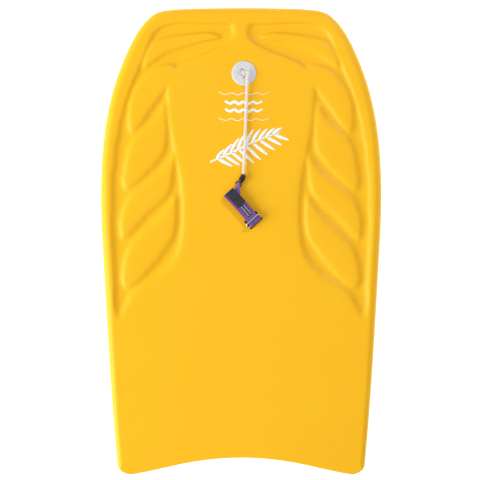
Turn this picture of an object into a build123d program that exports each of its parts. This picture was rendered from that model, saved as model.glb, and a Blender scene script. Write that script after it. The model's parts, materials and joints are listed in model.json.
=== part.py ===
"""Bodyboard: a moulded foam deck on a foam core, a leash plug and a wrist leash.

The board lies on its flat bottom at z = 0, its nose towards +Y and its deck up.
All lengths are in millimetres.
"""
from build123d import *
import math
import os

# ---------------------------------------------------------------- driving dimensions
board_length = 830.0
board_width = 500.0
board_thickness = 45.0
nose_lift = 14.0  # how far the bottom rises towards the nose
lift_length = 300.0  # the stretch of bottom that rises

skin_thickness = 3.0
slick_thickness = 2.0
slick_margin = 9.0  # from the outline to the edge of the slick
rail_radius = 14.0  # rounding of the rails and nose at the deck
chine_radius = 6.0  # rounding of the rails and nose at the bottom
tail_edge_radius = 2.5
tail_strip_width = 392.0

recess_depth = 6.0  # of the moulded wings beside the rider's chest

plug_setback = 117.6  # from the nose to the plug
plug_aside = 5.0  # from the board's centre line
flange_diameter = 44.0
flange_thickness = 2.5
flange_proud = 1.0
cup_diameter = 19.5
cup_depth = 3.0
post_diameter = 21.0
post_bore = 18.0
sleeve_wall = 2.0
lower_flange_diameter = 38.0
string_diameter = 2.0
string_hole_diameter = 3.2
stopper_diameter = 4.4  # the knot under the plug's cup

leash_axis_height = 6.3  # of the swivel's axis over the deck
tube_diameter = 6.0
tube_bore = 3.4
core_string_diameter = 2.4
knot_diameter = 5.2

barrel_diameter = 10.0
barrel_length = 9.5
horn_mouth_diameter = 7.4
horn_length = 5.5
pin_head_diameter = 6.4
pin_diameter = 3.0
bow_width = 12.0
bow_wire = 2.2
tab_width = 7.4
tab_thickness = 1.2

cuff_length = 75.6
cuff_width = 22.0
cuff_heading = -47.1  # degrees from +X, from the folded end to the ring
band_thickness = 1.9
loop_gap = 3.5  # between the two runs of the flattened band
lining_thickness = 2.2
ring_pad_length = 17.5
ring_pad_width = 29.0
patch_length = 32.0
patch_width = 18.0
loop_patch_thickness = 0.7
hook_patch_thickness = 0.5
flap_thickness = 1.0
ring_wire = 2.5
ring_bar_spacing = 8.6
ring_long_side = 30.5  # between the middles of the two rounded ends

running_gap = 0.3  # between pieces that move past each other
shaft_gap = 0.08  # radial, of the swivel pin in its bore
glue_gap = 0.05  # between round faces that are bonded or pressed
hole_gap = 0.3  # around the plug in the foam

# The outlines below are drawn on a blank of this size and stretched to the board.
drawn_width = 500.0
drawn_length = 830.0

# Right half, from the middle of the nose to well behind the tail.
outline_points = [
    (0, 415), (71, 414.2), (128, 411.3), (151, 406), (169, 392.1), (187, 368.2),
    (204.7, 333.3), (222.9, 285.8), (240.2, 214.6), (249, 127), (250, 74),
    (245.5, -34.5), (239.2, -141), (232.4, -248), (224.5, -350), (214, -470),
]
# Right half of the tail, from its middle to the start of the corner.
tail_points = [(0, -385), (60, -388.7), (110, -397), (160, -408.2), (196, -415)]
tail_corner_points = [(215.5, -406.8), (224, -380)]  # a point on the corner arc, and its end

# Right wing: the recess, and the five pillows that are left standing in it.
wing_points = [
    (22, 386), (66, 386), (118, 386), (152, 371), (166.2, 342), (192, 280), (212, 215),
    (224.7, 131), (228, 50), (224, -70), (217, -132), (194, -94), (150, -62),
    (116, -25), (105, 40), (107.9, 103), (124, 185), (131, 250), (124, 298),
    (98, 319), (48, 339), (26, 350), (13, 368),
]
pillow_points = [
    [
        (37, 363), (48, 368.2), (82, 368), (130, 362), (158, 349), (172, 306),
        (150, 322), (104, 343), (66, 354), (46, 358),
    ],
    [(125, 314), (155, 306), (185, 275), (200, 228), (195.5, 192.4), (161, 231), (136, 266)],
    [(140, 240), (162, 208.9), (192, 180), (206, 138), (206, 92), (160, 127), (137, 156), (131, 190)],
    [(124, 150), (147, 120), (185, 91), (208, 62), (210, 4), (168, 45), (136, 73), (122, 104)],
    [(121, 78), (147, 42), (184, 7), (206, -28), (205, -84), (160, -49), (124.6, -2.5), (114.5, 34)],
]

# ---------------------------------------------------------------- derived places
deck = board_thickness
nose = board_length / 2
lift_radius = (lift_length**2 + nose_lift**2) / (2 * nose_lift)
plug = Vector(plug_aside, nose - plug_setback, deck)
leash_height = deck + leash_axis_height
string_holes = [Vector(-4, 6, 0), Vector(1, -5, 0)]  # from the plug's middle

# The tube's route from the knot on the plug to the swivel, chosen by hand.
tube_route = [
    Vector(10.9, 296.4, leash_height),
    Vector(9.3, 252.0, deck + 4.4),
    Vector(7.7, 206.0, deck + 3.8),
    Vector(6.1, 161.0, deck + 4.5),
    Vector(4.5, 126.0, leash_height - 0.25),
    Vector(3.4, 112.6, leash_height),
]
knot = tube_route[0] + Vector(0.1, 3.0, 0)
swivel = tube_route[-1] + Vector(-0.2, -1.0, 0)  # where the barrel's axis starts
swivel_axis = Vector(-0.567, -0.824, 0).normalized()
across_swivel = Vector(-swivel_axis.Y, swivel_axis.X, 0)
bow_start = barrel_length + 2 * running_gap
bow_bar_at = bow_start + 1.4 + bow_wire / 2 + 2.4  # along the swivel's axis
bow_bar = swivel + swivel_axis * bow_bar_at

cuff_middle = Vector(1.8, 58.7, leash_height)
along_cuff = Vector(math.cos(math.radians(cuff_heading)), math.sin(math.radians(cuff_heading)), 0)
across_cuff = Vector(-along_cuff.Y, along_cuff.X, 0)
band_top = loop_gap / 2 + band_thickness  # heights over the swivel's axis
band_bottom = -band_top
fold_at = cuff_length / 2 - band_top  # middle of the fold at the ring's end
ring_lift = band_top + running_gap + ring_wire / 2
ring_reach = math.sqrt(ring_bar_spacing**2 - ring_lift**2)
loop_patch_top = band_top + loop_patch_thickness
hook_patch_bottom = loop_patch_top + running_gap
flap_bottom = hook_patch_bottom + hook_patch_thickness
flap_top = flap_bottom + flap_thickness
flap_root_at = -cuff_length / 2 + 1.3
flap_end_at = flap_root_at + patch_length


def stretched(points):
    """Points drawn on the blank, moved to the board's real length and width."""
    wide, long = board_width / drawn_width, board_length / drawn_length
    return [Vector(x * wide, y * long) for x, y in points]


def mirrored(points):
    """The same points on the other side of the centre line, in the other order."""
    return [Vector(-p.X, p.Y) for p in reversed(points)]


# ---------------------------------------------------------------- the board's outer shape
def moved(curve, points, distance):
    """Points of a curve, each moved square to it, to the left of its direction."""
    return [p + curve.tangent_at(p).rotate(Axis.Z, 90) * distance for p in points]


def plan_face(inset):
    """The nose and rails from above, running on past the tail, moved in by inset."""
    right = stretched(outline_points)
    points = [*mirrored(right)[:-1], *right]
    edge = Spline(*points)
    if inset:
        edge = Spline(*moved(edge, points, -inset))
    return make_face([*edge.edges(), Line(edge @ 1, edge @ 0)])


def tail_face(inset):
    """Everything in front of the tail's edge, from above, moved in by inset."""
    right = stretched(tail_points)
    points = [*mirrored(right)[:-1], *right]
    tail = Spline(*points)
    corner_points = [right[-1], *stretched(tail_corner_points)]
    corner = ThreePointArc(*corner_points)
    if inset:
        tail = Spline(*moved(tail, points, inset))
        corner_points = moved(corner, corner_points, inset)
        corner = ThreePointArc(tail @ 1, *corner_points[1:])
    front, side, end = board_length, board_width, corner @ 1
    rest = Polyline(
        end, (side, end.Y + side / 4), (side, front),
        (-side, front), (-side, end.Y + side / 4), (-end.X, end.Y),
    )
    return make_face([*tail.edges(), corner, mirror(corner, Plane.YZ), *rest.edges()])


def side_face(bottom, top):
    """The board from its side, in Y and Z, with a bottom that rises to the nose."""
    start = nose - lift_length
    angle = math.degrees(math.asin(lift_length / lift_radius))
    radius = lift_radius - bottom
    flat = Line((-board_length, bottom), (start, bottom))
    rise = CenterArc((start, lift_radius), radius, -90, angle * 1.05)
    end = rise @ 1
    rest = Polyline(end, (end.X, top), (-board_length, top), (-board_length, bottom))
    return Plane.YZ * make_face([*flat.edges(), *rise.edges(), *rest.edges()])


def board_solid(inset, bottom, top, top_radius, bottom_radius, tail_inset, tail_radius):
    """A board whose edges are rounded at the nose and rails and square at the tail."""
    prism = extrude(plan_face(inset), amount=2 * board_thickness)
    blank = prism & extrude(side_face(bottom, top), amount=board_width, both=True)
    back = blank.faces().sort_by(Axis.Y)[0]
    rims = [e for e in blank.edges() if not is_on(e, back) and not is_upright(e)]
    upper = [e for e in rims if e.bounding_box().min.Z > top - 0.01]
    lower = [e for e in rims if e.bounding_box().min.Z <= top - 0.01]
    blank = fillet(upper, top_radius)
    if bottom_radius:
        lower = [e for e in blank.edges() if any(same_edge(e, old) for old in lower)]
        blank = fillet(lower, bottom_radius)
    front = extrude(tail_face(tail_inset), amount=top)
    if tail_radius:
        tail_rim = [
            e for e in front.edges()
            if e.bounding_box().min.Z > top - 0.01 and e.bounding_box().max.Y < -board_length / 4
        ]
        front = fillet(tail_rim, tail_radius)
    return blank & front


def is_on(edge, face):
    """Whether an edge lies in a flat face."""
    return all(abs((edge @ t).Y - face.center().Y) < 0.01 for t in (0, 0.5, 1))


def is_upright(edge):
    """Whether an edge only goes up."""
    box = edge.bounding_box()
    return box.size.X < 0.01 and box.size.Y < 0.01


def same_edge(edge, other):
    """Whether two edges have the same middle."""
    return (edge @ 0.5 - other @ 0.5).length < 0.01


# ---------------------------------------------------------------- the board's pieces
def round_face(points, outset):
    """The face inside a smooth closed line drawn clockwise, grown by outset."""
    line = Spline(*points, periodic=True)
    if outset:
        line = Spline(*moved(line, points, outset), periodic=True)
    return make_face(line)


def wing_face(outset):
    """Both recesses from above, without their pillows, grown by outset."""
    wing = round_face(stretched(wing_points), outset)
    for points in pillow_points:
        wing -= round_face(stretched(points), -outset)
    return wing + mirror(wing, Plane.YZ)


def recess_cut(outset, top):
    """What is taken away from a board for its two wings."""
    return extrude(Plane.XY.offset(top - recess_depth) * wing_face(outset), amount=2 * recess_depth)


def disc(diameter, low, high):
    """An upright round plate or post at the plug."""
    return Pos(plug.X, plug.Y, low) * Cylinder(
        diameter / 2, high - low, align=(Align.CENTER, Align.CENTER, Align.MIN)
    )


def bottom_slope_at_plug():
    """How steeply the bottom rises under the plug, in degrees."""
    along = max(0.0, plug.Y - (nose - lift_length))
    return math.degrees(math.asin(along / lift_radius))


def bottom_at_plug():
    """The height of the rising bottom under the plug."""
    return lift_radius * (1 - math.cos(math.radians(bottom_slope_at_plug())))


def make_board():
    """The foam core, the skin over it, the slick under it and the strip on its tail."""
    outer = board_solid(0, 0, deck, rail_radius, chine_radius, 0, tail_edge_radius)
    core = board_solid(
        skin_thickness, slick_thickness, deck - skin_thickness, rail_radius - skin_thickness,
        chine_radius - skin_thickness, skin_thickness, 0,
    )
    slick_zone = extrude(plan_face(slick_margin), amount=deck) & extrude(
        tail_face(skin_thickness), amount=deck
    )
    over_slick = extrude(side_face(slick_thickness, deck), amount=board_width, both=True)
    strip_zone = Pos(0, -board_length / 2, 0) * Box(
        tail_strip_width, board_length / 4, 2 * (deck - skin_thickness)
    )
    slick = (outer & slick_zone) - over_slick
    tail_strip = (outer - extrude(tail_face(skin_thickness), amount=deck)) & strip_zone
    core -= recess_cut(skin_thickness, deck - skin_thickness)
    skin = outer - recess_cut(0, deck) - core - slick - tail_strip

    sleeve_hole = post_diameter + 2 * (glue_gap + sleeve_wall + hole_gap)
    through = disc(sleeve_hole, -1, deck + 1)
    seat = disc(flange_diameter + 2 * hole_gap, deck + flange_proud - flange_thickness, deck + 5)
    return {
        "foam_core": core - through,
        "deck_skin": skin - through - seat,
        "bottom_slick": slick - through,
        "tail_strip": tail_strip,
    }


# ---------------------------------------------------------------- the plug
def make_plug():
    """The two halves of the plug and the string that is tied through it."""
    flange_top = deck + flange_proud
    cup_floor = flange_top - cup_depth
    post_end = bottom_at_plug() + 2 * slick_thickness
    head = disc(flange_diameter, flange_top - flange_thickness, flange_top)
    head = fillet(head.edges().group_by(Axis.Z)[-1], flange_thickness * 0.6)
    head += disc(post_diameter, post_end, flange_top - flange_thickness)
    head -= disc(cup_diameter, cup_floor, flange_top + 1)
    head += disc(post_diameter, cup_floor - flange_thickness, cup_floor)
    head -= disc(post_bore, 0, cup_floor - flange_thickness)
    for hole in string_holes:
        head -= Pos(plug.X + hole.X, plug.Y + hole.Y, deck) * Cylinder(
            string_hole_diameter / 2, 4 * cup_depth
        )

    sleeve_outside = post_diameter + 2 * (glue_gap + sleeve_wall)
    foot = Vector(plug.X, plug.Y, bottom_at_plug() - hole_gap / 2)
    sleeve = disc(sleeve_outside, foot.Z - flange_thickness / 2, deck - 3 * flange_thickness)
    sleeve += Pos(*foot) * Rot(bottom_slope_at_plug(), 0, 0) * Cylinder(
        lower_flange_diameter / 2, flange_thickness, align=(Align.CENTER, Align.CENTER, Align.MAX)
    )
    sleeve -= disc(post_diameter + 2 * glue_gap, post_end - running_gap, deck)
    return {"plug_top": head, "plug_sleeve": sleeve, "plug_string": plug_string()}


def plug_string():
    """A string up one hole, over the middle of the cup and down the other, and its knot."""
    low = deck - 4 * cup_depth
    first, second = (plug + hole for hole in string_holes)
    over = Vector(0, 0, 1.9)
    path = FilletPolyline(
        Vector(first.X, first.Y, low), first + over, second + over,
        Vector(second.X, second.Y, low), radius=string_diameter,
    )
    string = sweep(Plane(path @ 0, z_dir=path % 0) * Circle(string_diameter / 2), path=path)
    along = (second - first).normalized()
    middle = (first + second) / 2 + Vector(0, 0, low - plug.Z)
    stopper = Cylinder(stopper_diameter / 2, (second - first).length + string_diameter)
    stopper = fillet(stopper.edges().filter_by(GeomType.CIRCLE), stopper_diameter / 4)
    return string + Plane(middle, z_dir=along) * stopper


def make_knot():
    """The leash's loop around the plug's string, with the knot that the tube starts at."""
    around = (string_holes[1] - string_holes[0]).normalized()
    middle = plug + (string_holes[0] + string_holes[1]) / 2 + Vector(0, 0, 1.9)
    wire = 0.8 * string_diameter / 2
    ring_radius = 1.9 + wire
    ring = Plane(middle, z_dir=around) * Torus(ring_radius, wire)
    side = middle + Vector(-around.Y, around.X, 0) * ring_radius
    link = Line(side, knot)
    link = sweep(Plane(side, z_dir=link % 0) * Circle(wire), path=link)
    return ring + link + Pos(*knot) * Sphere(knot_diameter / 2)


# ---------------------------------------------------------------- the leash
def route_radii():
    """The arc at each inner point of the tube's route, as large as its runs allow."""
    radii = []
    for before, here, after in zip(tube_route, tube_route[1:], tube_route[2:]):
        turn = math.radians((here - before).get_angle(after - here))
        shorter = min((here - before).length, (after - here).length)
        radii.append(0.45 * shorter / math.tan(turn / 2))
    return radii


def make_tube():
    """The clear tube and the string that runs inside it."""
    path = FilletPolyline(*tube_route, radius=route_radii())
    start = Plane(path @ 0, z_dir=path % 0)
    tube = sweep(start * (Circle(tube_diameter / 2) - Circle(tube_bore / 2)), path=path)
    string = sweep(start * Circle(core_string_diameter / 2), path=path)
    section = math.pi * (tube_diameter**2 - tube_bore**2) / 4
    print("tube radii", [round(r) for r in route_radii()], "length", round(path.length, 1))
    print("tube volume", round(tube.volume, 1), "section x length", round(section * path.length, 1))
    return {"leash_tube": tube, "leash_string": string}


def on_swivel(along, shape):
    """A shape made around +Z at the origin, laid on the swivel's axis."""
    plane = Plane(swivel + swivel_axis * along, x_dir=across_swivel, z_dir=swivel_axis)
    return plane * shape


def rod(diameter, low, high):
    """A round rod around +Z from low to high."""
    return Pos(0, 0, low) * Cylinder(
        diameter / 2, high - low, align=(Align.CENTER, Align.CENTER, Align.MIN)
    )


def make_swivel():
    """The moulded barrel on the tube's end, and the pin with a bow that turns in it."""
    cavity = (barrel_length * 0.32, barrel_length * 0.8)
    barrel = on_swivel(0, rod(barrel_diameter, 0, barrel_length))
    barrel = fillet(barrel.edges().filter_by(GeomType.CIRCLE), barrel_diameter * 0.12)
    into_tube = (tube_route[-2] - tube_route[-1]).normalized()
    mouth = tube_route[-1] + into_tube * horn_length
    horn = Plane(tube_route[-1], z_dir=into_tube) * Pos(0, 0, horn_length / 2) * Cone(
        barrel_diameter * 0.45, horn_mouth_diameter / 2, horn_length
    )
    barrel += horn + Pos(*tube_route[-1]) * Sphere(barrel_diameter * 0.45)
    tube_room = Line(tube_route[-1], mouth + into_tube)
    barrel -= sweep(
        Plane(tube_route[-1], z_dir=into_tube) * Circle(tube_diameter / 2 + glue_gap),
        path=tube_room,
    )
    barrel -= on_swivel(0, rod(pin_head_diameter + 2 * running_gap, *cavity))
    barrel -= on_swivel(0, rod(pin_diameter + 2 * shaft_gap, cavity[1] - 1, barrel_length + 1))

    pin = rod(pin_head_diameter, cavity[0] + running_gap, cavity[1] - running_gap)
    pin += rod(pin_diameter, cavity[1] - running_gap - 1, bow_start + 1)
    bow_end = bow_bar_at + bow_wire / 2
    bow = Pos(0, 0, (bow_start + bow_end) / 2) * Box(bow_width, bow_wire, bow_end - bow_start)
    bow = fillet(bow.edges().filter_by(Axis.Y), bow_wire * 0.45)
    slot_low, slot_high = bow_start + 1.4, bow_bar_at - bow_wire / 2
    bow -= Pos(0, 0, (slot_low + slot_high) / 2) * Box(
        tab_width + 2 * running_gap, 2 * bow_wire, slot_high - slot_low
    )
    bar_square = Pos(0, 0, bow_bar_at) * Box(tab_width + 2 * running_gap, 2 * bow_wire, 2 * bow_wire)
    bar = Pos(0, 0, bow_bar_at) * Rot(0, 90, 0) * Cylinder(bow_wire / 2, bow_width - 1)
    bow = (bow - bar_square) + bar
    return {"swivel_barrel": barrel, "swivel_pin": on_swivel(0, pin + bow)}


# ---------------------------------------------------------------- the cuff
def on_cuff(shape):
    """A shape drawn with X along the cuff and Y across it, laid on the swivel's height."""
    return Plane(cuff_middle, x_dir=along_cuff, z_dir=(0, 0, 1)) * shape


def slab(along, across, height):
    """A plate from three (low, high) pairs: along and across the cuff, and upwards."""
    sizes = [high - low for low, high in (along, across, height)]
    middle = [(high + low) / 2 for low, high in (along, across, height)]
    return Pos(*middle) * Box(*sizes)


def upright_cut(along, across, radius):
    """A tall plate with rounded corners, to round a flat piece off."""
    piece = slab(along, across, (-2 * leash_axis_height, 4 * leash_axis_height))
    return fillet(piece.edges().filter_by(Axis.Z), radius)


def make_tab():
    """The webbing tab around the swivel's bow, which ends between the band's two runs."""
    bar_loop = bow_wire / 2 + running_gap
    loop = Rot(0, 90, 0) * (
        Cylinder(bar_loop + tab_thickness, tab_width) - Cylinder(bar_loop, 2 * tab_width)
    )
    loop = on_swivel(bow_bar_at, loop)
    half = tab_width / 2
    side = across_swivel * half
    start = bow_bar + swivel_axis * (bar_loop + tab_thickness * 0.4)
    edge = cuff_middle + across_cuff * (cuff_width / 2 - 4)
    far = edge - along_cuff * (cuff_length / 2 - 10)
    near = edge - along_cuff * (cuff_length / 2 - 10 - 2 * tab_width)
    corners = [start - side, start + side, near, far]
    plan = make_face(Polyline(*[Vector(c.X, c.Y) for c in corners], close=True))
    plate = extrude(Plane.XY.offset(leash_height - tab_thickness) * plan, amount=2 * tab_thickness)
    return loop + (plate - on_swivel(bow_bar_at, Rot(0, 90, 0) * Cylinder(bar_loop, 2 * tab_width)))


def make_cuff():
    """The flattened band with its lining, patches, closing flap and ring."""
    half = cuff_width / 2
    profile = SlotOverall(cuff_length, 2 * band_top) - SlotOverall(
        cuff_length - 2 * band_thickness, loop_gap
    )
    upright = Plane(cuff_middle, x_dir=along_cuff, z_dir=-across_cuff)
    band = extrude(upright * profile, amount=half, both=True)
    lining_end = cuff_length / 2 - ring_pad_length - running_gap
    low = (band_bottom - lining_thickness, band_bottom)
    lining = slab((-fold_at, lining_end), (-half, half), low)
    pad_along = (lining_end + running_gap, cuff_length / 2 + 1)
    pad_across = (-ring_pad_width / 2 - 0.5, ring_pad_width / 2 - 0.5)
    pad = slab(pad_along, pad_across, low) & upright_cut(pad_along, pad_across, 3)

    patch_across = (half - patch_width, half)
    patch_along = (flap_root_at + 1.5, flap_end_at)
    loop_patch = slab(patch_along, patch_across, (band_top, loop_patch_top))
    loop_patch &= upright_cut(patch_along, patch_across, 1.5)
    hook_patch = slab(patch_along, patch_across, (hook_patch_bottom, flap_bottom))
    hook_patch &= upright_cut(patch_along, patch_across, 1.5)
    flap_along = (flap_root_at, flap_end_at)
    flap = slab(flap_along, patch_across, (flap_bottom, flap_top))
    flap &= upright_cut((flap_root_at - 4, flap_end_at), patch_across, 1.5)
    root_radius = flap_thickness
    flap += Pos(flap_root_at, half - patch_width / 2, flap_bottom) * Rot(90, 0, 0) * Cylinder(
        root_radius, patch_width
    )

    pieces = {
        "cuff_band": band,
        "cuff_lining": on_cuff(lining),
        "ring_pad": on_cuff(pad),
        "loop_patch": on_cuff(loop_patch),
        "hook_patch": on_cuff(hook_patch),
        "closing_flap": on_cuff(flap),
        "cuff_ring": make_ring(),
        "cuff_tab": make_tab(),
    }
    return pieces


def make_ring():
    """A long wire ring: one bar inside the band's fold, the other over the band."""
    bar = cuff_middle + along_cuff * fold_at
    slope = (-along_cuff * ring_reach + Vector(0, 0, ring_lift)).normalized()
    middle = bar + slope * ring_bar_spacing / 2 - across_cuff * (ring_long_side / 2 - 14)
    plane = Plane(middle, x_dir=across_cuff, z_dir=across_cuff.cross(slope))
    line = plane * SlotOverall(ring_long_side, ring_bar_spacing).wire()
    start = Plane(line @ 0, z_dir=line % 0)
    return sweep(start * Circle(ring_wire / 2), path=line)


# ---------------------------------------------------------------- write the pieces
def main():
    pieces = {**make_board(), **make_plug(), "leash_knot": make_knot(), **make_tube()}
    pieces.update(make_swivel())
    pieces.update(make_cuff())
    os.makedirs("parts", exist_ok=True)
    for name, shape in pieces.items():
        export_step(shape, f"parts/{name}.step")
    print(len(pieces), "pieces")


main()
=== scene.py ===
# %% [markdown]
# # A foam bodyboard with a wrist leash
# The board lies on its bottom with its deck up. The CAD frame gives every size and
# place, in metres. What is modelled here is what the eye meets: the soft moulded
# skin, the milky plug, the clear tube and the webbing cuff.

# %% Load the frame
import json
import math

import bmesh
import bpy
from mathutils import Matrix, Vector
from mathutils.bvhtree import BVHTree


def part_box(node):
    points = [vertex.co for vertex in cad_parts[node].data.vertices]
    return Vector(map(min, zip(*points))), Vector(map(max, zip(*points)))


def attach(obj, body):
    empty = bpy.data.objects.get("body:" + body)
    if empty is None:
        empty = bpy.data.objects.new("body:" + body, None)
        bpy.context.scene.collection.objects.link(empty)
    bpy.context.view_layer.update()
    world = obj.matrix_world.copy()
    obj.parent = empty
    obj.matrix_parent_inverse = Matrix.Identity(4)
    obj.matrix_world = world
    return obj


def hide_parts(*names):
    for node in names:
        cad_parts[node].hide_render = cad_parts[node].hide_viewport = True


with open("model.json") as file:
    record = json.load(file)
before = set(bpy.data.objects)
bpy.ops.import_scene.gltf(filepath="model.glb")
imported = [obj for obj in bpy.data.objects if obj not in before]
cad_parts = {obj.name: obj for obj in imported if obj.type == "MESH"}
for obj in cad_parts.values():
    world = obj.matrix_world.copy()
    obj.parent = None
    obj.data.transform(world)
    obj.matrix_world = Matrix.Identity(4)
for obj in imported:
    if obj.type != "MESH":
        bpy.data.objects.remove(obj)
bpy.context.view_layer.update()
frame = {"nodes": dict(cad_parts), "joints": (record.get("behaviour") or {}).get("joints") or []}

MM = 0.001
skin_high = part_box("deck_skin")[1]
deck = skin_high.z
nose = skin_high.y
print("deck height", round(deck, 4), "nodes", len(frame["nodes"]))

# %% [markdown]
# ## Camera
# A long lens far above the board shows it square on, as on a product page, with
# hardly any perspective. The picture is square, and the board nearly fills it.

# %% Camera
picture_side = 851.5 * MM  # what the picture spans at the height of the deck
camera_height = 3.0
camera_middle = Vector((-2.0 * MM, 1.5 * MM, 0))

camera_data = bpy.data.cameras.new("camera")
camera_data.sensor_width = 36.0
camera_data.lens = camera_data.sensor_width * (camera_height - deck) / picture_side
camera = bpy.data.objects.new("camera", camera_data)
camera.location = camera_middle + Vector((0, 0, camera_height))
bpy.context.scene.collection.objects.link(camera)
bpy.context.scene.camera = camera
bpy.context.scene.view_settings.view_transform = "Standard"
print("lens", round(camera_data.lens, 1))

# %% [markdown]
# ## Light
# Relief as shallow as this board's only shows when light rakes across it. A very
# large soft lamp stands low to the left, too large to cast a shadow of the thin
# leash. A small weak one to the upper right casts that shadow, towards the lower
# left, and the world fills the rest. The floor has a painted glow: it gives off light
# of its own, so that the board stands on clean white with only a trace of shadow.


# %% Light
def linear(code):
    """An sRGB hex colour as the linear RGBA that shaders and lamps take."""
    channels = [int(code[i:i + 2], 16) / 255 for i in (0, 2, 4)]
    return [c / 12.92 if c <= 0.04045 else ((c + 0.055) / 1.055) ** 2.4 for c in channels] + [1]


def lamp(name, place, size, power, colour="ffffff"):
    """A square area lamp that points at the board's middle."""
    data = bpy.data.lights.new(name, "AREA")
    data.size, data.energy, data.color = size, power, linear(colour)[:3]
    made = bpy.data.objects.new(name, data)
    made.location = place
    made.rotation_euler = (Vector((0, 0, deck)) - Vector(place)).to_track_quat("-Z", "Y").to_euler()
    bpy.context.scene.collection.objects.link(made)


world = bpy.data.worlds.new("studio")
world.use_nodes = True
world.node_tree.nodes["Background"].inputs["Color"].default_value = linear("ffffff")
world.node_tree.nodes["Background"].inputs["Strength"].default_value = 0.47
bpy.context.scene.world = world
lamp("key", (-2.7, -0.75, 1.4), 2.1, 98)
lamp("fill", (1.3, 1.9, 2.0), 0.35, 24)

floor_mesh = bmesh.new()
bmesh.ops.create_grid(floor_mesh, x_segments=1, y_segments=1, size=6)
floor_data = bpy.data.meshes.new("floor")
floor_mesh.to_mesh(floor_data)
floor = bpy.data.objects.new("floor", floor_data)
bpy.context.scene.collection.objects.link(floor)
print("lamps", len(bpy.data.lights))

# %% [markdown]
# ## Helpers for materials
# Each finish is one Principled shader, with its constants on its own sockets and
# only patterns linked in. One function adds any node.


# %% Material helpers
def add(tree, kind, inputs=None, **settings):
    """A shader node of any kind, with its settings and its values or links."""
    node = tree.nodes.new("ShaderNode" + kind)
    for key, value in settings.items():
        setattr(node, key, value)
    for key, value in (inputs or {}).items():
        if isinstance(value, bpy.types.NodeSocket):
            tree.links.new(value, node.inputs[key])
        else:
            node.inputs[key].default_value = value
    return node


def finish_of(name, **constants):
    """A new material and its Principled shader, with constants on the shader's sockets."""
    made = bpy.data.materials.new(name)
    made.use_nodes = True
    shader = made.node_tree.nodes["Principled BSDF"]
    for key, value in constants.items():
        shader.inputs[key.replace("_", " ")].default_value = value
    return made, made.node_tree, shader


def bump(tree, shader, height, depth, strength=1.0, normal=None):
    """Links a height pattern to the shader as a bump of a real depth in metres."""
    inputs = {"Height": height, "Distance": depth, "Strength": strength}
    if normal is not None:
        inputs["Normal"] = normal
    made = add(tree, "Bump", inputs)
    tree.links.new(made.outputs["Normal"], shader.inputs["Normal"])
    return made


def mixed(tree, factor, first, second):
    """The colour between two hex colours or sockets that a factor picks."""
    node = add(tree, "Mix", data_type="RGBA")
    tree.links.new(factor, node.inputs["Factor"])
    for socket, value in (("A", first), ("B", second)):
        target = [s for s in node.inputs if s.name == socket and s.type == "RGBA"][0]
        if isinstance(value, str):
            target.default_value = linear(value)
        else:
            tree.links.new(value, target)
    return [s for s in node.outputs if s.type == "RGBA"][0]


# %% [markdown]
# ## Floor
# A matt white floor with a painted glow. It only has to catch a faint shadow, and its glow fills in
# most of that.

# %% Floor finish
# The emission is a painted glow: the floor lights itself, which fills in most of the board's shadow.
floor_finish, tree, shader = finish_of("white_floor_painted_glow", Roughness=0.9, Emission_Strength=0.6)
shader.inputs["Emission Color"].default_value = linear("ffffff")
place = add(tree, "TexCoord")
speckle = add(tree, "TexNoise", {"Vector": place.outputs["Object"], "Scale": 40.0})
tree.links.new(mixed(tree, speckle.outputs["Fac"], "fbfbfb", "fdfdfd"), shader.inputs["Base Color"])
floor.data.materials.append(floor_finish)

# %% [markdown]
# ## Deck skin
# The real skin is a 3 mm sheet of closed-cell foam, heated and pressed over the core.
# Its fine pores make it satin rather than glossy, and the sheet is a little uneven in
# colour. So: a faint cloud of two yellows, pores of about a millimetre, and a slow
# wave of a few centimetres as the sheet settles on the beads under it.

# %% Deck skin finish
foam_finish, tree, shader = finish_of("laminated_foam_skin", Roughness=0.42)
shader.inputs["Specular IOR Level"].default_value = 0.22
place = add(tree, "TexCoord")
cloud = add(tree, "TexNoise", {"Vector": place.outputs["Object"], "Scale": 9.0, "Detail": 3.0})
grain = add(tree, "TexNoise", {"Vector": place.outputs["Object"], "Scale": 420.0, "Detail": 2.0})
base = mixed(tree, cloud.outputs["Fac"], "ffbe18", "ffc420")
tree.links.new(mixed(tree, add(tree, "MapRange", {
    "Value": grain.outputs["Fac"], "From Min": 0.35, "From Max": 0.65, "To Max": 0.22,
}).outputs["Result"], base, "f4b010"), shader.inputs["Base Color"])
pores = add(tree, "TexVoronoi", {"Vector": place.outputs["Object"], "Scale": 900.0})
settle = add(tree, "TexNoise", {"Vector": place.outputs["Object"], "Scale": 28.0, "Detail": 1.0})
slow = add(tree, "Bump", {"Height": settle.outputs["Fac"], "Distance": 0.35 * MM, "Strength": 1.0})
bump(tree, shader, pores.outputs["Distance"], 0.05 * MM, 0.6, slow.outputs["Normal"])
print("foam nodes", len(tree.nodes))

# %% [markdown]
# ## The skin's outline
# A board's outline is star-shaped, so level rays shot at its middle from all round
# meet the rails once each. The points are then spaced evenly along the edge and
# made the same on both sides.


# %% Outline
def solid_tree(*nodes):
    """A tree to shoot rays at, of one or more CAD nodes."""
    joined = bmesh.new()
    for name in nodes:
        joined.from_mesh(frame["nodes"][name].data)
    return BVHTree.FromBMesh(joined)


def edge_points(height, rays=3600):
    """Points round the board's edge at one height, from the middle of the tail."""
    target = solid_tree("deck_skin", "tail_strip")
    found = []
    for i in range(rays):
        angle = 2 * math.pi * (i + 0.5) / rays - math.pi / 2
        outward = Vector((math.cos(angle), math.sin(angle), 0))
        hit = target.ray_cast(outward + Vector((0, 0, height)), -outward)[0]
        found.append(Vector((hit.x, hit.y)))
    return found


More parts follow.
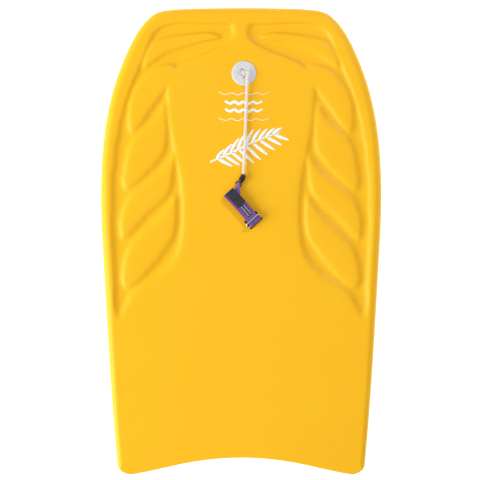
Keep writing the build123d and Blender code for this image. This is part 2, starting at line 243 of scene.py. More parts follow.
def evenly(points, count):
    """A closed line's points again, count of them at even steps."""
    closed = points + points[:1]
    along = [0.0]
    for a, b in zip(closed, closed[1:]):
        along.append(along[-1] + (b - a).length)
    made, at = [], 0
    for i in range(count):
        want = along[-1] * (i + 0.5) / count
        while along[at + 1] < want:
            at += 1
        share = (want - along[at]) / (along[at + 1] - along[at])
        made.append(closed[at].lerp(closed[at + 1], share))
    return made


edge_count = 760
edge = evenly(edge_points(0.58 * deck), edge_count)
edge = [
    Vector(((a.x - b.x) / 2, (a.y + b.y) / 2)) for a, b in zip(edge, reversed(edge))
]
inward = []
for i in range(edge_count):
    run = edge[(i + 2) % edge_count] - edge[i - 2]
    inward.append(Vector((-run.y, run.x)).normalized())
print("edge points", len(edge), "width", round(2 * max(p.x for p in edge), 4))

# %% [markdown]
# ## The skin's surface
# One ring of edge points is extruded again and again: under the rail to the slick's
# edge, up the wall, over the rounded rail, and then inwards across the deck to a
# line down the middle. The deck rings drop onto the CAD deck, whose wings are cut
# square, and are then smoothed in height alone. Hot foam cannot follow a sharp step,
# and two strengths of smoothing together give its soft walls and gently crowned pads.

# %% Deck skin
lift_length = 300 * MM  # the bottom rises this far back from the nose
nose_lift = 14 * MM
lift_radius = (lift_length**2 + nose_lift**2) / (2 * nose_lift)
chine_radius = 6 * MM
slick_gap = 9.3 * MM  # from the edge to where the skin meets the slick
strip_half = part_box("tail_strip")[1].x
strip_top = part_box("tail_strip")[1].z
plug_low, plug_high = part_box("plug_top")
plug = Vector(((plug_low.x + plug_high.x) / 2, (plug_low.y + plug_high.y) / 2, deck))
spine_tail = -300 * MM
flange_flat = 21 * MM  # the deck is flat under the plug's flange, and rises to full height outside
flange_rise = 36 * MM
flange_sink = 1.1 * MM
post_hole = 13 * MM  # radius of the hole in the skin that the plug's post goes through
post_hole_depth = 2.2 * MM
strip_clearance = 0.8 * MM  # the skin keeps this far behind the separate tail strip


def bottom(y):
    """The height of the rising bottom."""
    along = max(0.0, y - (nose - lift_length))
    return lift_radius - math.sqrt(lift_radius**2 - along**2)


def eased(value, low, high):
    """0 under low, 1 over high, and a soft step between."""
    share = min(1.0, max(0.0, (value - low) / (high - low)))
    return share * share * (3 - 2 * share)


def rail_radius(i):
    """The rounding at the top of the edge: full at the rails, tight at the cut tail."""
    full = (10.5 + 4.0 * eased(edge[i].y, -0.42, 0.0)) * MM
    at_tail = eased(inward[i].y, 0.35, 0.8) * (edge[i].y < -0.3)
    return full + (2.6 * MM - full) * at_tail


def ring_place(i, inset, height):
    """Edge point i, moved in by inset and set at a height."""
    flat = edge[i] + inward[i] * inset
    return Vector((flat.x, flat.y, height))


def deck_place(i, share):
    """Edge point i, a share of the way from the rail's top to the middle line."""
    start = edge[i] + inward[i] * rail_radius(i)
    spine = Vector((0, min(max(edge[i].y, spine_tail), plug.y)))
    flat = start.lerp(spine, share)
    return Vector((flat.x, flat.y, deck))


skin = bmesh.new()
bmesh.ops.create_circle(skin, segments=edge_count, radius=1)
skin.verts.ensure_lookup_table()
ring = list(skin.verts)


def grow(places):
    """Extrudes the last ring of the skin to new places, one for each edge point."""
    global ring
    edges = [skin.edges.get((a, b)) for a, b in zip(ring, ring[1:] + ring[:1])]
    made = bmesh.ops.extrude_edge_only(skin, edges=edges)["geom"]
    new = []
    fresh = {v for v in made if isinstance(v, bmesh.types.BMVert)}
    for v in ring:
        new.append(next(e.other_vert(v) for e in v.link_edges if e.other_vert(v) in fresh))
    for v, place in zip(new, places):
        v.co = place
    ring = new
    return new


indices = range(edge_count)
for v, i in zip(ring, indices):
    v.co = ring_place(i, slick_gap, bottom(edge[i].y))
for step in range(6):
    turn = math.pi / 2 * step / 5
    grow([
        ring_place(i, chine_radius * (1 - math.sin(turn)),
                   bottom(edge[i].y) + chine_radius * (1 - math.cos(turn)))
        for i in indices
    ])
for share in (0.3, 0.6, 0.9):
    grow([
        ring_place(i, 0, bottom(edge[i].y) + chine_radius
                   + (deck - rail_radius(i) - bottom(edge[i].y) - chine_radius) * share)
        for i in indices
    ])
for step in range(9):
    turn = math.pi / 2 * step / 8
    grow([
        ring_place(i, rail_radius(i) * (1 - math.cos(turn)),
                   deck - rail_radius(i) * (1 - math.sin(turn)))
        for i in indices
    ])
rail_verts = set(skin.verts)
for v in rail_verts:
    if v.co.y < -0.3 and abs(v.co.x) < strip_half and v.co.z < strip_top - 0.1 * MM:
        v.co.y += strip_clearance

fine_rows, coarse_rows = 62, 14
shares = [0.62 * (k + 1) / fine_rows for k in range(fine_rows)]
shares += [0.62 + 0.38 * (k + 1) / coarse_rows for k in range(coarse_rows)]
cad_deck = solid_tree("deck_skin")
for share in shares:
    for v in grow([deck_place(i, share) for i in indices]):
        hit = cad_deck.ray_cast(Vector((v.co.x, v.co.y, 2 * deck)), Vector((0, 0, -1)))[0]
        away = (v.co.xy - plug.xy).length
        if hit is not None and away > 30 * MM and hit.z > deck - 10 * MM:
            v.co.z = hit.z
        v.co.z -= flange_sink * (1 - eased(away, flange_flat, flange_rise))

deck_verts = [v for v in skin.verts if v not in rail_verts]
heights = []
for rounds in (6, 54):
    for _ in range(rounds):
        bmesh.ops.smooth_vert(skin, verts=deck_verts, factor=0.5, use_axis_x=False,
                              use_axis_y=False, use_axis_z=True)
    heights.append([v.co.z for v in deck_verts])
crown_share = 0.28  # of the strong smoothing
for v, crisp, soft in zip(deck_verts, *heights):
    v.co.z = crisp + (soft - crisp) * crown_share
    if (v.co.xy - plug.xy).length < post_hole:
        v.co.z -= post_hole_depth
bmesh.ops.remove_doubles(skin, verts=skin.verts, dist=0.05 * MM)
bmesh.ops.recalc_face_normals(skin, faces=skin.faces)
if sum(f.normal.z * f.calc_area() for f in skin.faces) < 0:
    bmesh.ops.reverse_faces(skin, faces=skin.faces)


def piece(name, source, body, finish, replaces=(), smooth=True):
    """A finished piece from a bmesh: its object, finish, body and stood-for nodes."""
    data = bpy.data.meshes.new(name)
    source.to_mesh(data)
    source.free()
    made = bpy.data.objects.new(name, data)
    bpy.context.scene.collection.objects.link(made)
    data.materials.append(finish)
    for face in data.polygons:
        face.use_smooth = smooth
    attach(made, body)
    if replaces:
        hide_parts(*replaces)
    return made


board_skin = piece("board_skin", skin, "board", foam_finish, ["deck_skin"])
print("skin faces", len(board_skin.data.polygons))

# %% [markdown]
# ## Core, slick and tail strip
# The slick and the strip already have their true shape. The core is steam-moulded bead
# foam, white with cells of three or four millimetres, and its top is pressed down where
# the skin's soft hollows need room. The slick is a hard, smooth sheet of polyethylene,
# slightly waxy. The strip that closes the tail is cut from the deck's own foam sheet.

# %% Finishes of the board's other pieces
bead_finish, tree, shader = finish_of("moulded_bead_foam", Roughness=0.8)
place = add(tree, "TexCoord")
beads = add(tree, "TexVoronoi", {"Vector": place.outputs["Object"], "Scale": 280.0})
tree.links.new(mixed(tree, beads.outputs["Distance"], "f6f6f2", "e2e2dc"), shader.inputs["Base Color"])
bump(tree, shader, beads.outputs["Distance"], 0.4 * MM, 0.7)

slick_finish, tree, shader = finish_of("extruded_polyethylene", Roughness=0.28)
place = add(tree, "TexCoord")
streak = add(tree, "Mapping", {"Vector": place.outputs["Object"], "Scale": (60.0, 3.0, 1.0)})
drawn = add(tree, "TexNoise", {"Vector": streak.outputs["Vector"], "Scale": 1.0, "Detail": 3.0})
tree.links.new(mixed(tree, drawn.outputs["Fac"], "f2f2ee", "e9e9e4"), shader.inputs["Base Color"])
bump(tree, shader, drawn.outputs["Fac"], 0.12 * MM, 0.5)

core_top = deck - 16 * MM  # what lies above this is the core's moulded top
core_press = 3.5 * MM
core = bmesh.new()
core.from_mesh(frame["nodes"]["foam_core"].data)
bmesh.ops.remove_doubles(core, verts=core.verts, dist=0.001 * MM)
for v in core.verts:
    if v.co.z > core_top:
        v.co.z -= core_press
piece("bead_core", core, "board", bead_finish, ["foam_core"], smooth=False)

for node, finish in (("bottom_slick", slick_finish), ("tail_strip", foam_finish)):
    frame["nodes"][node].data.materials.clear()
    frame["nodes"][node].data.materials.append(finish)
print("finishes", len(bpy.data.materials))

# %% [markdown]
# ## Plug
# The plug is injection-moulded in a milky, slightly clear plastic. Its head is a
# shallow dish with a rounded rim, so it is spun from a half profile. The string
# comes up through two holes, which two thin cutters take out of the dish.

# %% Plug head
plug_finish, tree, shader = finish_of("milky_moulded_nylon", Roughness=0.32)
shader.inputs["Subsurface Weight"].default_value = 0.12
shader.inputs["Subsurface Scale"].default_value = 1.0 * MM
place = add(tree, "TexCoord")
flow = add(tree, "TexNoise", {"Vector": place.outputs["Object"], "Scale": 160.0, "Detail": 2.0})
tree.links.new(mixed(tree, flow.outputs["Fac"], "d4d5d6", "dfe0e1"), shader.inputs["Base Color"])
bump(tree, shader, flow.outputs["Fac"], 0.1 * MM, 0.5)

rim_top = plug_high.z
head_profile = [  # radius and height over the rim's top, in millimetres
    (0.0, -1.7), (3.5, -1.7), (7.6, -1.5), (9.0, -0.9), (10.2, -0.15), (11.6, 0.0),
    (18.5, -0.1), (20.8, -0.35), (21.7, -0.9), (22.0, -1.6), (21.9, -2.5), (0.0, -3.4),
]


def turned(profile, centre, steps=72):
    """A closed round solid from a half profile of radii and heights in millimetres."""
    made = bmesh.new()
    line = [made.verts.new(centre + Vector((r, 0, h)) * MM) for r, h in profile]
    edges = [made.edges.new(pair) for pair in zip(line, line[1:])]
    bmesh.ops.spin(made, geom=line + edges, cent=centre, axis=(0, 0, 1), angle=2 * math.pi,
                   steps=steps, use_merge=True)
    bmesh.ops.remove_doubles(made, verts=made.verts, dist=0.01 * MM)
    bmesh.ops.recalc_face_normals(made, faces=made.faces)
    return made


def cut(solid, cutter):
    """The first bmesh without the second, by a boolean modifier."""
    objects = []
    for source in (solid, cutter):
        data = bpy.data.meshes.new("cutting")
        source.to_mesh(data)
        source.free()
        objects.append(bpy.data.objects.new("cutting", data))
        bpy.context.scene.collection.objects.link(objects[-1])
    boolean = objects[0].modifiers.new("cut", "BOOLEAN")
    boolean.operation, boolean.object, boolean.solver = "DIFFERENCE", objects[1], "EXACT"
    shape = objects[0].evaluated_get(bpy.context.evaluated_depsgraph_get())
    made = bmesh.new()
    made.from_mesh(shape.to_mesh())
    for used in objects:
        bpy.data.objects.remove(used)
    return made


head = turned(head_profile, Vector((plug.x, plug.y, rim_top)))
holes = bmesh.new()
string_holes = [Vector((-4.0, 6.0, 0)) * MM, Vector((1.0, -5.0, 0)) * MM]
hole_radius = 2.0 * MM
for hole in string_holes:
    bmesh.ops.create_cone(
        holes, cap_ends=True, segments=20, radius1=hole_radius, radius2=hole_radius, depth=6 * MM,
        matrix=Matrix.Translation((plug.x + hole.x, plug.y + hole.y, rim_top - 2 * MM)),
    )
plug_head = piece("plug_head", cut(head, holes), "board", plug_finish, ["plug_top"])
frame["nodes"]["plug_sleeve"].data.materials.clear()
frame["nodes"]["plug_sleeve"].data.materials.append(plug_finish)
print("plug", round(1000 * (plug_high.x - plug_low.x), 1), "mm", len(plug_head.data.polygons), "faces")

# %% [markdown]
# ## String
# The plug's loop and the leash's inner line are braided nylon. A braid's strands
# cross at about a millimetre, which a fine slanted wave and a bump stand for.

# %% String finish
string_finish, tree, shader = finish_of("braided_nylon_cord", Roughness=0.6)
place = add(tree, "TexCoord")
braid = add(tree, "TexWave", {"Vector": place.outputs["Object"], "Scale": 160.0, "Distortion": 1.5},
            bands_direction="DIAGONAL")
tree.links.new(mixed(tree, braid.outputs["Fac"], "e9e2df", "fbf8f6"), shader.inputs["Base Color"])
bump(tree, shader, braid.outputs["Fac"], 0.25 * MM, 0.7)
frame["nodes"]["plug_string"].data.materials.clear()
frame["nodes"]["plug_string"].data.materials.append(string_finish)


def round_curve(name, points, radius, finish, thickness=None, closed=False):
    """A NURBS curve through control points, round in section, with a factor per point."""
    data = bpy.data.curves.new(name, "CURVE")
    data.dimensions, data.bevel_depth, data.bevel_resolution = "3D", radius, 5
    data.resolution_u, data.use_fill_caps = 12, True
    line = data.splines.new("NURBS")
    line.points.add(len(points) - 1)
    for i, place in enumerate(points):
        line.points[i].co = (*place, 1)
        line.points[i].radius = thickness[i] if thickness else 1
    line.order_u = 3
    line.use_cyclic_u, line.use_endpoint_u = closed, not closed
    data.materials.append(finish)
    made = bpy.data.objects.new(name, data)
    bpy.context.scene.collection.objects.link(made)
    return made


# %% [markdown]
# ## Knot and loop
# The leash's line is tied round the plug's string with an overhand knot. A trefoil
# line is just that knot with its ends joined, so a short formula draws it.

# %% Knot and loop
knot_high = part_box("leash_knot")[1]
tube_height = knot_high.z - 2.6 * MM
line_radius = 0.75 * MM
knot_size = 0.56 * MM  # the formula below is about six of these across
knot_middle = Vector((plug.x + 6.0 * MM, plug.y + 2.0 * MM, tube_height))
knot_points = []
for i in range(18):
    turn = 2 * math.pi * i / 18
    knot_points.append(knot_middle + knot_size * Vector((
        math.sin(turn) + 2 * math.sin(2 * turn),
        math.cos(turn) - 2 * math.cos(2 * turn),
        -2.0 * math.sin(3 * turn),
    )))
knot = round_curve("leash_knot_line", knot_points, line_radius, string_finish, closed=True)
loop_low = plug + Vector((-1.5, 0.5, 1.9)) * MM
loop_points = [
    knot_middle, loop_low + Vector((5.0, 1.4, 3.4)) * MM, loop_low + Vector((1.6, 0.8, 3.1)) * MM,
    loop_low + Vector((-1.8, -0.9, 2.0)) * MM, loop_low + Vector((-2.2, -1.1, -0.9)) * MM,
    loop_low + Vector((0.0, 0.0, -2.1)) * MM, loop_low + Vector((2.4, 1.2, -0.6)) * MM,
    loop_low + Vector((4.6, 1.0, 2.6)) * MM, knot_middle,
]
loop = round_curve("leash_loop_line", loop_points, line_radius, string_finish)
for line in (knot, loop):
    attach(line, "leash_loop")
    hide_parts("leash_knot")
print("knot at", [round(1000 * c, 1) for c in knot_middle])

# %% [markdown]
# ## Print
# The flat of the deck carries a screen print in white ink. Here it is a plain pattern:
# a few water lines over a brushed leaf frond. Each stroke is a strip that swells and
# tapers as a brush does, and lies on the skin.

# %% Ink
ink_finish, tree, shader = finish_of("white_screen_ink", Roughness=0.42)
place = add(tree, "TexCoord")
wear = add(tree, "TexNoise", {"Vector": place.outputs["Object"], "Scale": 300.0, "Detail": 3.0})
tree.links.new(mixed(tree, wear.outputs["Fac"], "fffdf4", "ffffff"), shader.inputs["Base Color"])
bump(tree, shader, wear.outputs["Fac"], 0.04 * MM, 0.5)


def strip(stations, thickness, columns=6):
    """A closed band through stations of (middle, half width), with UVs in metres."""
    rows = len(stations) - 1
    made = bmesh.new()
    uv = made.loops.layers.uv.new("weave")
    bmesh.ops.create_grid(made, x_segments=columns, y_segments=rows, size=1)
    made.verts.ensure_lookup_table()
    along = [0.0]
    for (a, _), (b, _) in zip(stations, stations[1:]):
        along.append(along[-1] + (b - a).length)
    where = {}
    for v in made.verts:
        row = round((v.co.y + 1) / 2 * rows)
        middle, half = stations[row]
        where[v] = (along[row], v.co.x * half.length)
        v.co = middle + half * v.co.x
    for face in made.faces:
        for corner in face.loops:
            corner[uv].uv = where[corner.vert]
    bmesh.ops.recalc_face_normals(made, faces=made.faces)
    made.normal_update()
    outwards = made.verts.layers.float_vector.new("outwards")
    for v in made.verts:
        v[outwards] = v.normal
    grown = bmesh.ops.extrude_face_region(made, geom=made.faces[:], use_keep_orig=True)["geom"]
    raised = {v for v in grown if isinstance(v, bmesh.types.BMVert)}
    for v in made.verts:
        v.co += v[outwards] * (thickness / 2 if v in raised else -thickness / 2)
    bmesh.ops.recalc_face_normals(made, faces=made.faces)
    return made


def join(whole, shape):
    """Adds one closed shape to a bmesh that holds many."""
    part = bpy.data.meshes.new("part")
    shape.to_mesh(part)
    shape.free()
    whole.from_mesh(part)
    bpy.data.meshes.remove(part)


ink_height = deck + 0.02 * MM


def stroke(points, width, taper=0.55):
    """Stations of a brush stroke along a smooth line of (x, y) in millimetres."""
    curve = bpy.data.curves.new("stroke", "CURVE")
    curve.dimensions, curve.resolution_u = "3D", 10
    line = curve.splines.new("NURBS")
    line.points.add(len(points) - 1)
    for i, (x, y) in enumerate(points):
        line.points[i].co = (plug.x + x * MM, y * MM, ink_height, 1)
    line.order_u = 3
    line.use_endpoint_u = True
    holder = bpy.data.objects.new("stroke", curve)
    traced = bpy.data.meshes.new_from_object(holder)
    places = [v.co.copy() for v in traced.vertices]
    bpy.data.objects.remove(holder)
    stations = []
    for i, here in enumerate(places):
        run = places[min(i + 1, len(places) - 1)] - places[max(i - 1, 0)]
        share = i / (len(places) - 1)
        swell = 1 - taper * abs(2 * share - 0.8) ** 2
        half = Vector((-run.y, run.x, 0)).normalized() * width / 2 * MM * max(0.12, swell)
        stations.append((here, half))
    return stations


water_middle = 238  # millimetres from the board's middle, as the stem's places are
water_lines = ((23.0, 45, 1.3), (7.0, 33, 5.5), (-7.0, 33, 5.5), (-23.0, 45, 1.3))
strokes = []
for rise, reach, width in water_lines:
    wave = [(-reach + reach * k / 4, water_middle + rise + 3.5 * (-1) ** k) for k in range(9)]
    strokes.append(stroke(wave, width, 0.3))
stem = [(-60, 140), (-30, 152), (5, 170), (35, 183), (64, 192)]
strokes.append(stroke(stem, 4.0, 0.5))
stem_slope = 0.43
leaflet_width = 6.0
for k in range(9):  # a pair of brushed leaflets at each step along the stem
    x = -48 + 12.5 * k
    y = stem[0][1] + stem_slope * (x - stem[0][0])
    reach = 33 - 4.5 * abs(k - 3.5)
    upper = [(x, y + 1), (x + 4, y + 0.5 * reach), (x + 15, y + reach)]
    lower = [(x + 3, y), (x + 13, y - 0.3 * reach), (x + 28, y - 0.75 * reach)]
    strokes.append(stroke(upper, leaflet_width, 0.5))
    strokes.append(stroke(lower, leaflet_width, 0.5))
ink = bmesh.new()
for layer, stations in enumerate(strokes):
    join(ink, strip(stations, (0.16 + 0.08 * (layer % 2)) * MM, 2))  # crossing strokes differ
deck_print = piece("deck_print", ink, "board", ink_finish)
print("strokes", len(strokes), "faces", len(deck_print.data.polygons))

# %% [markdown]
# ## Swivel
# The barrel is moulded in black nylon over the tube's end, fat in the middle and
# tapered towards the tube. A curve with a thickness at each point draws that taper.
# The pin's bow is a CAD piece with its true shape.

# %% Swivel
black_finish, tree, shader = finish_of("black_moulded_nylon", Roughness=0.38)
place = add(tree, "TexCoord")
spark = add(tree, "TexNoise", {"Vector": place.outputs["Object"], "Scale": 900.0, "Detail": 2.0})
tree.links.new(mixed(tree, spark.outputs["Fac"], "17131a", "241f28"), shader.inputs["Base Color"])
bump(tree, shader, spark.outputs["Fac"], 0.08 * MM, 0.6)

joints = {j["name"]: j for j in frame["joints"]}
swivel_start = Vector(joints["swivel_spin"]["pos_m"])
swivel_axis = Vector(joints["swivel_spin"]["axis"]).normalized()
tube_end = Vector((plug.x - 1.6 * MM, 112.6 * MM, tube_height))
to_tube = (Vector((plug.x - 0.5 * MM, 126.0 * MM, tube_height)) - tube_end).normalized()
barrel_radius = 5.0 * MM
barrel_points = [
    tube_end + to_tube * 5.4 * MM, tube_end + to_tube * 3.5 * MM, tube_end + to_tube * 0.5 * MM,
    swivel_start + swivel_axis * 2.5 * MM, swivel_start + swivel_axis * 6.0 * MM,
    swivel_start + swivel_axis * 8.4 * MM, swivel_start + swivel_axis * 9.4 * MM,
]
barrel = round_curve(
    "swivel_moulding", barrel_points, barrel_radius, black_finish,
    thickness=[0.64, 0.78, 0.94, 1.0, 0.96, 0.84, 0.66],
)
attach(barrel, "leash")
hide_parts("swivel_barrel")
frame["nodes"]["swivel_pin"].data.materials.clear()
frame["nodes"]["swivel_pin"].data.materials.append(black_finish)

# %% [markdown]
# ## Webbing
# The cuff's band and tab are woven polyester. Ribs run across a webbing at about
# 1.5 mm, with the fine threads of the warp along it. Along both edges the selvedge
# is dyed a brighter pink, which the strip's own UVs, in metres, put in place.


# %% Webbing finishes
def webbing_finish(name, dark, light, edge_colour=None, edge_at=0.0):
    """Woven webbing: ribs across, warp threads along, and perhaps dyed edges."""
    made, tree, shader = finish_of(name, Roughness=0.72)
    shader.inputs["Sheen Weight"].default_value = 0.25
    place = add(tree, "TexCoord")
    spread = add(tree, "Mapping", {"Vector": place.outputs["UV"], "Scale": (1.0, 0.6, 1.0)})
    ribs = add(tree, "TexWave", {"Vector": spread.outputs["Vector"], "Scale": 210.0, "Distortion": 0.6})
    warp = add(tree, "TexWave", {"Vector": place.outputs["UV"], "Scale": 330.0, "Distortion": 0.4},
               bands_direction="Y")
    both = add(tree, "Math", {0: ribs.outputs["Fac"], 1: warp.outputs["Fac"]}, operation="MULTIPLY")
    fade = add(tree, "TexNoise", {"Vector": place.outputs["UV"], "Scale": 120.0, "Detail": 2.0})
    blend = add(tree, "Math", {0: both.outputs[0], 1: fade.outputs["Fac"]}, operation="ADD")
    share = add(tree, "MapRange", {"Value": blend.outputs[0], "From Min": 0.3, "From Max": 1.3})
    colour = mixed(tree, share.outputs["Result"], dark, light)
    if edge_colour:
        split = add(tree, "SeparateXYZ", {"Vector": place.outputs["UV"]})
        side = add(tree, "Math", {0: split.outputs["Y"]}, operation="ABSOLUTE")
        near = add(tree, "MapRange", {
            "Value": side.outputs[0], "From Min": edge_at - 1.2 * MM, "From Max": edge_at + 0.4 * MM,
        })
        colour = mixed(tree, near.outputs["Result"], colour, edge_colour)
    tree.links.new(colour, shader.inputs["Base Color"])
    bump(tree, shader, both.outputs[0], 0.35 * MM, 0.8)
    return made


purple_finish = webbing_finish("purple_polyester_webbing", "563b80", "855bb0", "b03a7c", 9.9 * MM)
lilac_finish = webbing_finish("lilac_polyester_tape", "7550a0", "a077c6")
black_webbing = webbing_finish("black_polyester_webbing", "171219", "332b38")

# %% [markdown]
# ## Cuff
# The cuff lies flattened and closed: one band of webbing runs along the top, folds
# over and comes back underneath, with a soft lining below it. Real webbing never
# lies quite straight, so every piece of the cuff shares one gentle sideways bow.

# %% Cuff frame
band_low, band_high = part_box("cuff_band")
cuff_middle = (Vector(band_low) + Vector(band_high)) / 2
across = Vector(joints["ring_tilt"]["axis"]).normalized()
along = across.cross(Vector((0, 0, 1)))
cuff_half = 37.8  # millimetres, as all the cuff's places are


def cuff_place(t, v, h):
    """A place on the cuff from millimetres along it, across it and upwards."""
    bow = 1.5 * max(0.0, 1 - ((t + 9) / 34) ** 2)
    return cuff_middle + (along * t + across * (v + bow) + Vector((0, 0, h))) * MM


def cuff_strip(path, across_range, thickness, columns=8, ripple=0.0):
    """A strip along a path of (t, h) places, from one v to another."""
    low, high = across_range
    stations = []
    for i, (t, h) in enumerate(path):
        sway = ripple * math.sin(0.55 * t + 0.8)
        a, b = cuff_place(t, low + sway, h), cuff_place(t, high + 0.6 * sway, h)
        stations.append(((a + b) / 2, (b - a) / 2))
    return strip(stations, thickness * MM, columns)


def straight(start, end, height, steps=24, dip=0.0):
    """Places along a nearly flat run, which may dip in the middle."""
    places = []
    for i in range(steps + 1):
        share = i / steps
        places.append((start + (end - start) * share, height - dip * math.sin(math.pi * share)))
    return places


# %% Band
band_radius = 2.75
reach = cuff_half - band_radius - 0.95
band_path = straight(-reach, reach, band_radius, 40)
band_path += [
    (reach + band_radius * math.sin(math.pi * k / 12), band_radius * math.cos(math.pi * k / 12))
    for k in range(1, 12)
]
band_path += straight(reach, -reach, -band_radius, 40)
band_path += [
    (-reach - band_radius * math.sin(math.pi * k / 12), -band_radius * math.cos(math.pi * k / 12))
    for k in range(1, 12)
]
band_path.append(band_path[0])
band_shape = cuff_strip(band_path, (-10.9, 10.9), 1.7, 10, 0.22)
bmesh.ops.remove_doubles(band_shape, verts=band_shape.verts, dist=0.05 * MM)
band = piece("cuff_webbing", band_shape, "cuff", purple_finish, ["cuff_band"])
print("band faces", len(band.data.polygons))

# %% [markdown]
# ## Lining, pad, patches and flap
# The lining is neoprene faced with a knit. The closing flap carries the hooks and
# the band the loops; both are a dense black pile. A stitched black webbing pad
# stands out on both sides of the ring.

# %% Pile and neoprene finishes
def pile_finish(name, dark, light, pitch):
    """A dense pile or knit: small cells with a soft sheen."""
    made, tree, shader = finish_of(name, Roughness=0.9)
    shader.inputs["Sheen Weight"].default_value = 0.2
    place = add(tree, "TexCoord")
    tufts = add(tree, "TexVoronoi", {"Vector": place.outputs["Object"], "Scale": 1 / pitch})
    tree.links.new(mixed(tree, tufts.outputs["Distance"], dark, light), shader.inputs["Base Color"])
    bump(tree, shader, tufts.outputs["Distance"], 0.4 * MM, 0.9)
    return made


hook_finish = pile_finish("nylon_hook_and_loop", "120e14", "2c2530", 1.2 * MM)
neoprene_finish = pile_finish("knit_faced_neoprene", "1a161d", "2e2932", 0.9 * MM)

# %% Lining, pad, patches and flap
cuff_pieces = (
    ("neoprene_lining", straight(-34.15, 20.0, -4.85), (-10.9, 10.9), 1.9, neoprene_finish,
     "cuff", "neoprene", "cuff_lining"),
    ("ring_webbing_pad", straight(20.5, 38.6, -4.85), (-14.9, 13.9), 1.8, black_webbing,
     "cuff", "black_webbing", "ring_pad"),
    ("loop_tape", straight(-34.8, -4.6, 4.02), (-6.8, 10.8), 0.55, hook_finish,
     "cuff", "hook_and_loop", "loop_patch"),
    ("hook_tape", straight(-34.8, -4.6, 4.88), (-6.8, 10.8), 0.4, hook_finish,
     "flap", "hook_and_loop", "hook_patch"),
    ("closing_webbing", straight(-37.2, -4.6, 5.65), (-6.9, 10.9), 0.9, black_webbing,
     "flap", "hook_and_loop", "closing_flap"),
)
for name, path, width, thickness, finish, body, slot, node in cuff_pieces:
    shape = cuff_strip(path, width, thickness, 8, 0.15)
    piece(name, shape, body, finish, [node])

# %% [markdown]
# ## Tab and ring
# The tab is a doubled strip of lilac webbing, looped over the swivel's bow and sewn
# into the cuff. The ring is bent from plated steel wire.

# %% Tab
bow_bar = Vector(joints["cuff_fold"]["pos_m"])
tab_end = cuff_place(-20.4, 7.0, 0)
tab_run = (tab_end - bow_bar).normalized()
tab_side = Vector((joints["cuff_fold"]["axis"])).normalized()
tab_path = []
for layer in (1, -1):
    run = []
    for k in range(13):
        share = k / 12
        middle = bow_bar.lerp(tab_end, 1 - share)
        lift = 0.65 * MM + 1.25 * MM * max(0.0, (share - 0.7) / 0.3) ** 1.5
        half = tab_side.lerp(along.xy.to_3d() * -1, 0.35 * (1 - share)).normalized()
        run.append((middle + Vector((0, 0, layer * lift)), half * (3.6 + 2.6 * (1 - share)) * MM))
    if layer == 1:
        tab_path += run
        for k in range(1, 8):
            turn = math.pi * k / 8
            over = (-tab_run * math.sin(turn) + Vector((0, 0, math.cos(turn)))) * 1.9 * MM
            tab_path.append((bow_bar + over, tab_side * 3.6 * MM))
    else:
        tab_path += run[::-1]
tab = piece("swivel_tab", strip(tab_path, 1.0 * MM, 4), "cuff", lilac_finish,
            ["cuff_tab"])

ring_finish, tree, shader = finish_of("nickel_plated_wire", Metallic=1.0, Roughness=0.24)
place = add(tree, "TexCoord")
rub = add(tree, "TexNoise", {"Vector": place.outputs["Object"], "Scale": 500.0, "Detail": 2.0})
tree.links.new(mixed(tree, rub.outputs["Fac"], "d4d6da", "f0f1f3"), shader.inputs["Base Color"])
bump(tree, shader, rub.outputs["Fac"], 0.03 * MM, 0.5)
frame["nodes"]["cuff_ring"].data.materials.clear()
frame["nodes"]["cuff_ring"].data.materials.append(ring_finish)

# %% [markdown]
# ## Stitching and woven stripes
# Rows of thread hold the flap's edges and the band's ends. Each stitch is a short
# rounded bead of thread, copied along its row. A dark ground with two rows of pale
# dashes is woven into the bare stretch of the band.

# %% Stitching
thread_finish, tree, shader = finish_of("polyester_thread", Roughness=0.55)
place = add(tree, "TexCoord")
ply = add(tree, "TexWave", {"Vector": place.outputs["Object"], "Scale": 700.0})
tree.links.new(mixed(tree, ply.outputs["Fac"], "4d3566", "7a57a0"), shader.inputs["Base Color"])
bump(tree, shader, ply.outputs["Fac"], 0.06 * MM, 0.5)


def stitches(name, body, rows, height):
    """Rows of stitches, from one (t, v) place to another, on a piece of the cuff."""
    made = bmesh.new()
    pitch, length, radius = 2.6, 1.8, 0.24
    for start, end in rows:
        start, end = Vector(start), Vector(end)
        for k in range(int((end - start).length / pitch)):
            at = start + (end - start).normalized() * pitch * (k + 0.5)
            run = (end - start).normalized()
            heading = along * run.x + across * run.y
            turn = heading.to_track_quat("X", "Z").to_matrix().to_4x4()
            grown = Matrix.Diagonal((length * MM / 2, radius * MM, radius * MM, 1))
            place = Matrix.Translation(cuff_place(at.x, at.y, height)) @ turn @ grown
            bmesh.ops.create_icosphere(made, subdivisions=1, radius=1, matrix=place)
    return piece(name, made, body, thread_finish)


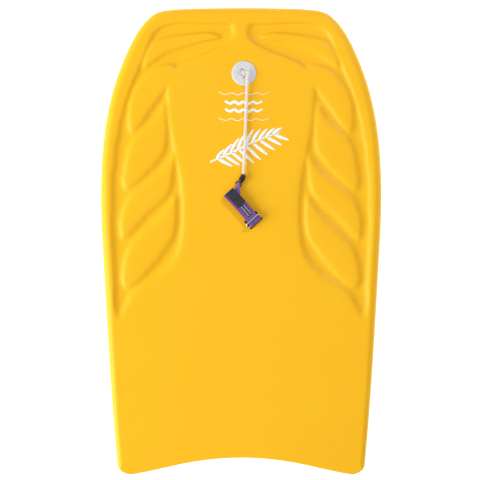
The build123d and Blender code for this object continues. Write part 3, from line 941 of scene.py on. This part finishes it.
flap_rows = [((-34, -5.6), (-6, -5.6)), ((-34, 9.6), (-6, 9.6)), ((-6, -5), (-6, 9.4))]
flap_thread = stitches("flap_stitching", "flap", flap_rows, 6.1)
band_rows = [
    ((21, -9), (21, 9)), ((23.5, -9), (23.5, 9)),
    ((-2, 9.7), (19, 9.7)), ((-2, -9.7), (19, -9.7)),
]
band_thread = stitches("band_stitching", "cuff", band_rows, 3.6)
ground_finish = webbing_finish("indigo_woven_ground", "1f1830", "3a2f52")
ground = piece("band_ground", cuff_strip(straight(-3.5, 19.5, 3.8), (-4.6, 6.4), 0.14, 6), "cuff",
               ground_finish)
dash_finish = webbing_finish("pale_woven_dashes", "a79cc0", "e4def0")
dashes = bmesh.new()
for row, v in enumerate((3.9, -1.6)):  # two broken rows of woven dashes
    for k in range(8):
        t = -1.6 + 2.6 * k + 0.7 * row
        lean = 0.5 + 0.4 * (k % 3)
        a, b = cuff_place(t, v - 1.5, 3.92), cuff_place(t + lean, v + 1.5, 3.92)
        half = along * (0.55 + 0.2 * ((k + row) % 2)) * MM
        join(dashes, strip([(a, half), (b, half)], 0.1 * MM, 1))
stripe = piece("band_dashes", dashes, "cuff", dash_finish)
print("stitches", len(flap_thread.data.polygons) // 20 + len(band_thread.data.polygons) // 20)

# %% [markdown]
# ## Tube
# The leash is a clear urethane tube with a line inside it, held up at both ends, so
# it sags a little towards the deck. Urethane is milky where it is handled, and the
# yellow shows through it. The route is one smooth curve through a few places.

# %% Tube and its line
clear_finish, tree, shader = finish_of("clear_urethane_tube", Roughness=0.2, Alpha=0.5, IOR=1.45)
place = add(tree, "TexCoord")
haze = add(tree, "TexNoise", {"Vector": place.outputs["Object"], "Scale": 200.0, "Detail": 2.0})
tree.links.new(mixed(tree, haze.outputs["Fac"], "f4ece6", "fffaf6"), shader.inputs["Base Color"])
bump(tree, shader, haze.outputs["Fac"], 0.1 * MM, 0.4)

line_finish, tree, shader = finish_of("twisted_nylon_line", Roughness=0.6)
place = add(tree, "TexCoord")
twist = add(tree, "TexNoise", {"Vector": place.outputs["Object"], "Scale": 60.0, "Detail": 1.0})
tree.links.new(mixed(tree, twist.outputs["Fac"], "f3e6dc", "fdf3ea"), shader.inputs["Base Color"])
bump(tree, shader, twist.outputs["Fac"], 0.1 * MM, 0.4)

tube_route = [
    Vector((5.9, 296.4, 6.3)), Vector((4.3, 252.0, 4.4)), Vector((2.7, 206.0, 3.8)),
    Vector((1.1, 161.0, 4.5)), Vector((-0.5, 126.0, 6.05)), Vector((-1.6, 112.6, 6.3)),
]  # from the plug's line, the board's middle and the deck, in millimetres
tube_points = [Vector((plug.x, 0, deck)) + place * MM for place in tube_route]
tube_diameter = 6.0 * MM
inner_radius = 0.9 * MM
tube = round_curve("leash_tube_clear", tube_points, tube_diameter / 2, clear_finish)
line = round_curve("leash_inner_line", tube_points, inner_radius, line_finish)
for part, slot, node in ((tube, "clear_tube", "leash_tube"), (line, "string", "leash_string")):
    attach(part, "leash")
    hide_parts(node)
print("tube from", [round(1000 * c, 1) for c in tube_points[0]])
